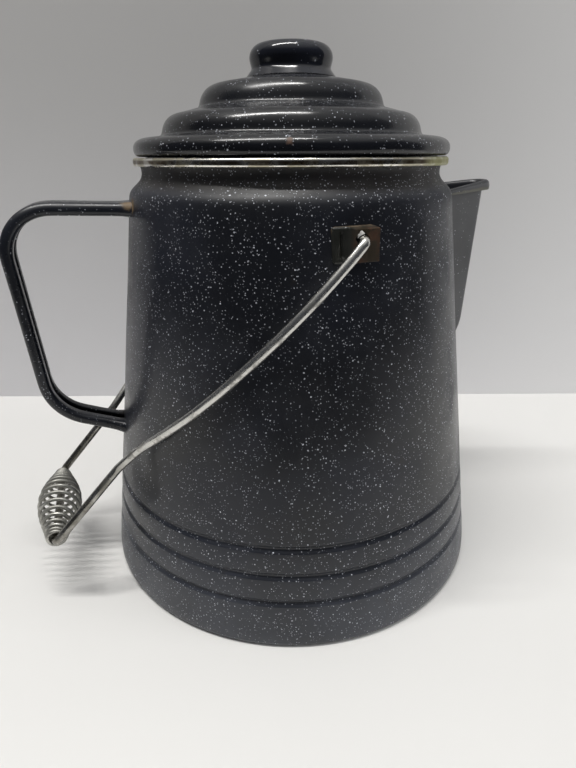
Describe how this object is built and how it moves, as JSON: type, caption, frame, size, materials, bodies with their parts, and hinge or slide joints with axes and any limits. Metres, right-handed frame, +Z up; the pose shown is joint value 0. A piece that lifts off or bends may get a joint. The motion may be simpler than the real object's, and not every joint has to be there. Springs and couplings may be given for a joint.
{
  "type": "enamel coffee pot",
  "caption": "Tapered enamelled coffee pot with a strap handle, a wire bail with a coil grip, a pressed spout and a stepped lift-off lid.",
  "frame": {"origin": "centre of the flat base, on the surface that the pot stands on", "axes": "+Z up along the pot's axis, +X towards the spout, so the strap handle is at -X and the bail's ears are at +Y and -Y"},
  "size_m": [0.2986, 0.24, 0.2956],
  "materials": {
    "enamel": "glossy near-black vitreous enamel with fine pale specks",
    "lid_enamel": "glossy near-black vitreous enamel with sparse pale specks",
    "rim_steel": "polished stainless steel",
    "bail_steel": "bright galvanised wire with long scratches",
    "coil_steel": "dull galvanised spring wire",
    "ear_plate": "thin burnt enamel, brown and grey-green, worn at its edges"
  },
  "bodies": {
    "pot": {"body_shell": "enamel", "base_pan": "enamel", "rim_band": "rim_steel", "spout_shell": "enamel", "handle_strap": "enamel", "bail_ear_right": "ear_plate", "bail_ear_left": "ear_plate"},
    "bail": {"bail_wire": "bail_steel"},
    "grip": {"coil_grip": "coil_steel"},
    "lid": {"lid_shell": "lid_enamel", "lid_skirt": "lid_enamel", "lid_knob": "lid_enamel"}
  },
  "joints": [
    {"name": "bail_swing", "type": "hinge", "parent": "pot", "child": "bail", "pos_m": [0, 0, 0.2075], "axis": [0, 1, 0], "range_deg": [0, 274.8]},
    {"name": "grip_spin", "type": "hinge", "parent": "bail", "child": "grip", "pos_m": [-0.15264, 0, 0.04151], "axis": [0, 1, 0], "continuous": true},
    {"name": "lid_lift", "type": "slide", "parent": "pot", "child": "lid", "axis": [0, 0, 1], "range_m": [0, 0.08]}
  ]
}
